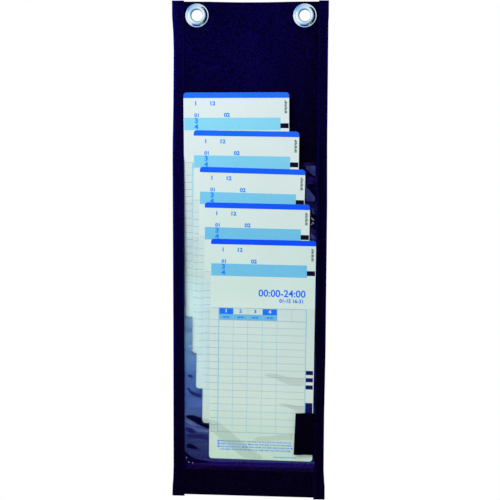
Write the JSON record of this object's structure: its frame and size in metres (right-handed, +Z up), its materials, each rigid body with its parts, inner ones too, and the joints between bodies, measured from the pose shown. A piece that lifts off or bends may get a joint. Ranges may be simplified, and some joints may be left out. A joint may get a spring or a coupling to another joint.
{
  "type": "hanging time card holder",
  "caption": "Hanging cloth holder with bound sides, plated eyelets and overlapping clear pockets, each holding a paper time card that slides up and out.",
  "frame": {"origin": "midway between the two eyelet centres, on the back face of the cloth panel", "axes": "+X to the viewer's right, front faces -Y, +Z up along the hanging panel"},
  "size_m": [0.125, 0.0076, 0.403],
  "materials": {
    "cloth": "woven navy cloth, matte",
    "binding_tape": "woven navy tape, matte",
    "plated_metal": "bright plated",
    "clear_vinyl": "clear, glossy",
    "card_paper": "printed card, matte",
    "ribbon": "dark woven ribbon",
    "thread": "navy sewing thread"
  },
  "bodies": {
    "panel": {"back_panel": "cloth", "left_binding": "binding_tape", "right_binding": "binding_tape", "eyelet_left": "plated_metal", "eyelet_right": "plated_metal", "eyelet_washer_left": "plated_metal", "eyelet_washer_right": "plated_metal", "pocket_sheet_1": "clear_vinyl", "pocket_sheet_2": "clear_vinyl", "pocket_sheet_3": "clear_vinyl", "pocket_sheet_4": "clear_vinyl", "pocket_sheet_5": "clear_vinyl", "left_binding_thread": "thread", "right_binding_thread": "thread", "top_hem_thread": "thread", "bottom_hem_thread": "thread", "pocket_thread_1": "thread", "pocket_thread_2": "thread", "pocket_thread_3": "thread", "pocket_thread_4": "thread", "pocket_thread_5": "thread"},
    "card_1": {"time_card_1": "card_paper"},
    "card_2": {"time_card_2": "card_paper"},
    "card_3": {"time_card_3": "card_paper"},
    "card_4": {"time_card_4": "card_paper"},
    "card_5": {"time_card_5": "card_paper"},
    "label": {"label_tab": "ribbon"}
  },
  "joints": [
    {"name": "card_1_slide", "type": "slide", "parent": "panel", "child": "card_1", "axis": [0, -0.0259, 0.9997], "range_m": [0, 0.13]},
    {"name": "card_2_slide", "type": "slide", "parent": "panel", "child": "card_2", "axis": [0, -0.0259, 0.9997], "range_m": [0, 0.13]},
    {"name": "card_3_slide", "type": "slide", "parent": "panel", "child": "card_3", "axis": [0, -0.0259, 0.9997], "range_m": [0, 0.13]},
    {"name": "card_4_slide", "type": "slide", "parent": "panel", "child": "card_4", "axis": [0, -0.0259, 0.9997], "range_m": [0, 0.13]},
    {"name": "card_5_slide", "type": "slide", "parent": "panel", "child": "card_5", "axis": [0, -0.0259, 0.9997], "range_m": [0, 0.13]},
    {"name": "label_lift", "type": "hinge", "parent": "panel", "child": "label", "pos_m": [0.05355, -0.00201, -0.3535], "axis": [0, -0.0259, 0.9997], "range_deg": [-5, 80], "stiffness_Nm_per_rad": 0.0005}
  ]
}
